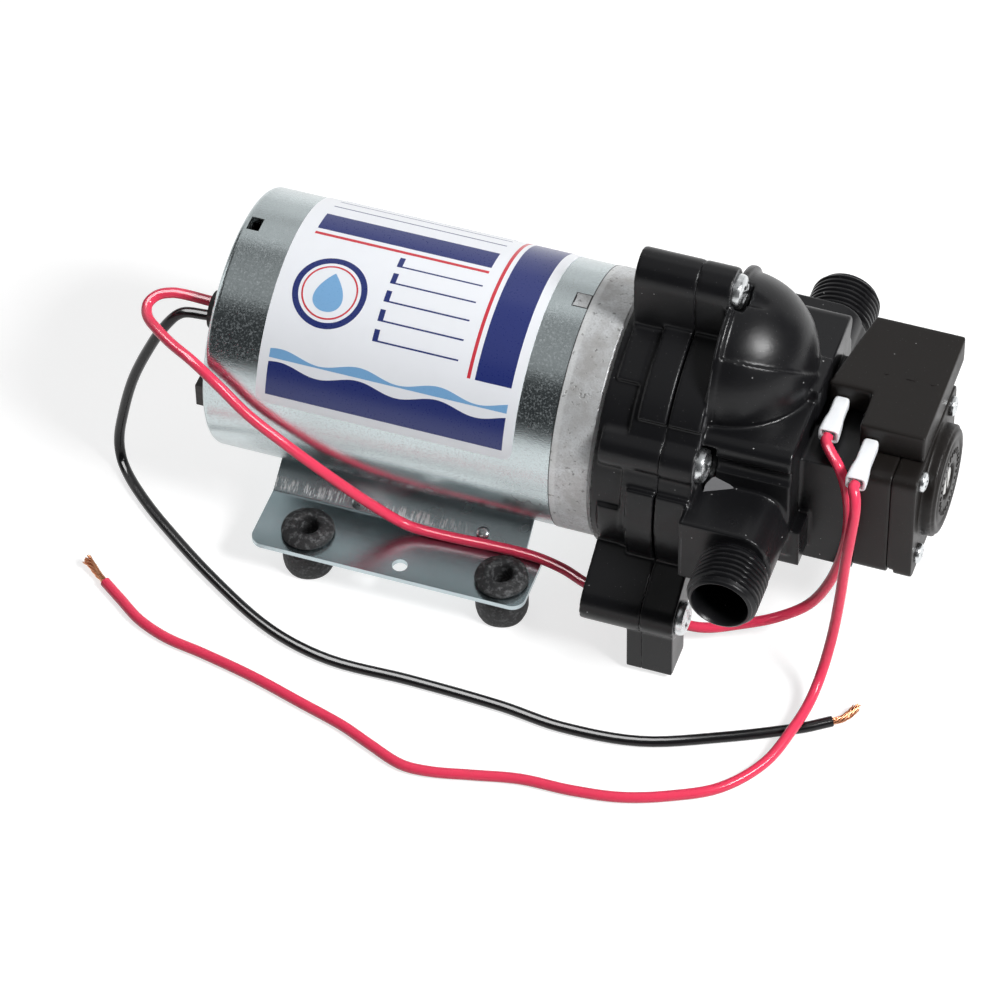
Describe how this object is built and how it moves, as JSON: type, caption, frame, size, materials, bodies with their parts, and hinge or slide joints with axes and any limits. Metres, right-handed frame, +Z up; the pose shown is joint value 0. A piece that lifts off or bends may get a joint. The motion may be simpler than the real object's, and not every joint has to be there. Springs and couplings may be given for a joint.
{
  "type": "diaphragm water pump",
  "caption": "Low-voltage diaphragm water pump with a round motor on a footed bracket, a three-lobed head with side ports, a pressure switch and loose supply leads.",
  "frame": {"origin": "centre of the four foot holes, on the plane that the feet stand on", "axes": "+X along the motor axis from the motor's rear end to the pump head, -Y the inlet side, +Z up"},
  "size_m": [0.2504, 0.1742, 0.1162],
  "materials": {
    "zinc_can": "smooth zinc plate",
    "label": "white film with a navy border",
    "magnet": "matt ferrite",
    "bronze": "sintered",
    "brush_board": "moulded",
    "brass": "pressed",
    "carbon": "pressed carbon",
    "spring_steel": "drawn wire",
    "grommet_rubber": "matt",
    "cast_alloy": "rough pitted casting",
    "bearing_steel": "ground",
    "shaft_steel": "ground",
    "core_iron": "stamped sheets",
    "copper": "enamelled wire and bare segments",
    "nylon": "moulded",
    "cam_alloy": "die cast",
    "zinc_sheet": "zinc plated sheet",
    "foot_rubber": "worn matt rubber",
    "head_plastic": "fibre-filled, satin",
    "screw_zinc": "zinc plated",
    "adjuster_steel": "turned",
    "membrane_rubber": "matt",
    "valve_rubber": "matt",
    "switch_plastic": "moulded, satin",
    "button_plastic": "moulded",
    "sleeve_nylon": "translucent white",
    "lead_red": "soft insulation",
    "lead_black": "soft insulation"
  },
  "bodies": {
    "pump": {"motor_can": "zinc_can", "rating_label": "label", "magnets": "magnet", "rear_bush": "bronze", "brush_plate": "brush_board", "brush_holders": "brass", "switch_terminals": "brass", "brush_spring_front": "spring_steel", "brush_spring_back": "spring_steel", "check_spring": "spring_steel", "switch_spring": "spring_steel", "wire_grommet": "grommet_rubber", "front_casting": "cast_alloy", "bearing_outer": "bearing_steel", "red_strands": "copper", "black_strands": "copper", "check_retainer": "nylon", "base_bracket": "zinc_sheet", "foot_front_rear": "foot_rubber", "foot_front_head": "foot_rubber", "foot_back_rear": "foot_rubber", "foot_back_head": "foot_rubber", "lower_housing": "head_plastic", "upper_housing": "head_plastic", "valve_plate": "head_plastic", "casting_screws": "screw_zinc", "head_screws": "screw_zinc", "switch_screws": "screw_zinc", "diaphragm": "membrane_rubber", "switch_diaphragm": "membrane_rubber", "inlet_valves": "valve_rubber", "outlet_valve": "valve_rubber", "switch_housing": "switch_plastic", "switch_cover": "switch_plastic", "snap_switch_case": "switch_plastic", "sleeve_link": "sleeve_nylon", "sleeve_supply": "sleeve_nylon", "link_lead": "lead_red", "red_lead": "lead_red", "black_lead": "lead_black"},
    "rotor": {"motor_shaft": "shaft_steel", "armature_core": "core_iron", "armature_windings": "copper", "commutator": "copper", "thrust_washer": "nylon", "bearing_inner": "bearing_steel", "cam_hub": "cam_alloy"},
    "ball_set": {"bearing_balls": "bearing_steel"},
    "wobbler": {"wobble_bush": "bronze", "wobble_plate": "nylon", "pistons": "nylon", "piston_screws": "screw_zinc"},
    "front_brush": {"brush_front": "carbon"},
    "back_brush": {"brush_back": "carbon"},
    "poppet": {"check_poppet": "nylon"},
    "plunger": {"switch_plunger": "nylon"},
    "button": {"snap_switch_button": "button_plastic"},
    "adjuster": {"adjust_screw": "adjuster_steel"}
  },
  "joints": [
    {"name": "shaft_spin", "type": "hinge", "parent": "pump", "child": "rotor", "pos_m": [0, 0, 0.0525], "axis": [1, 0, 0], "continuous": true},
    {"name": "ball_roll", "type": "hinge", "parent": "pump", "child": "ball_set", "pos_m": [0, 0, 0.0525], "axis": [1, 0, 0], "continuous": true},
    {"name": "wobble_spin", "type": "hinge", "parent": "rotor", "child": "wobbler", "pos_m": [0.0752, 0, 0.0525], "axis": [0.9981, 0, -0.061], "continuous": true, "deforming": ["diaphragm"]},
    {"name": "brush_front_slide", "type": "slide", "parent": "pump", "child": "front_brush", "axis": [0, -1, 0], "range_m": [0, 0.004], "stiffness_N_per_m": 150, "springref_m": -0.004, "deforming": ["brush_spring_front"]},
    {"name": "brush_back_slide", "type": "slide", "parent": "pump", "child": "back_brush", "axis": [0, 1, 0], "range_m": [0, 0.004], "stiffness_N_per_m": 150, "springref_m": -0.004, "deforming": ["brush_spring_back"]},
    {"name": "poppet_lift", "type": "slide", "parent": "pump", "child": "poppet", "axis": [0, 1, 0], "range_m": [0, 0.004], "stiffness_N_per_m": 120, "springref_m": -0.004, "deforming": ["check_spring"]},
    {"name": "plunger_travel", "type": "slide", "parent": "pump", "child": "plunger", "axis": [1, 0, 0], "range_m": [0, 0.0008], "stiffness_N_per_m": 800, "springref_m": -0.002, "deforming": ["switch_spring", "switch_diaphragm"]},
    {"name": "button_travel", "type": "slide", "parent": "pump", "child": "button", "axis": [0, 0, 1], "range_m": [0, 0.0006]},
    {"name": "adjuster_turn", "type": "hinge", "parent": "pump", "child": "adjuster", "pos_m": [0.145, 0, 0.0525], "axis": [1, 0, 0], "range_deg": [-360, 360]}
  ],
  "couplings": [
    {"joint": "ball_roll", "follows": "shaft_spin", "ratio": 0.373},
    {"joint": "wobble_spin", "follows": "shaft_spin", "ratio": -1},
    {"joint": "button_travel", "follows": "plunger_travel", "ratio": 0.75}
  ]
}
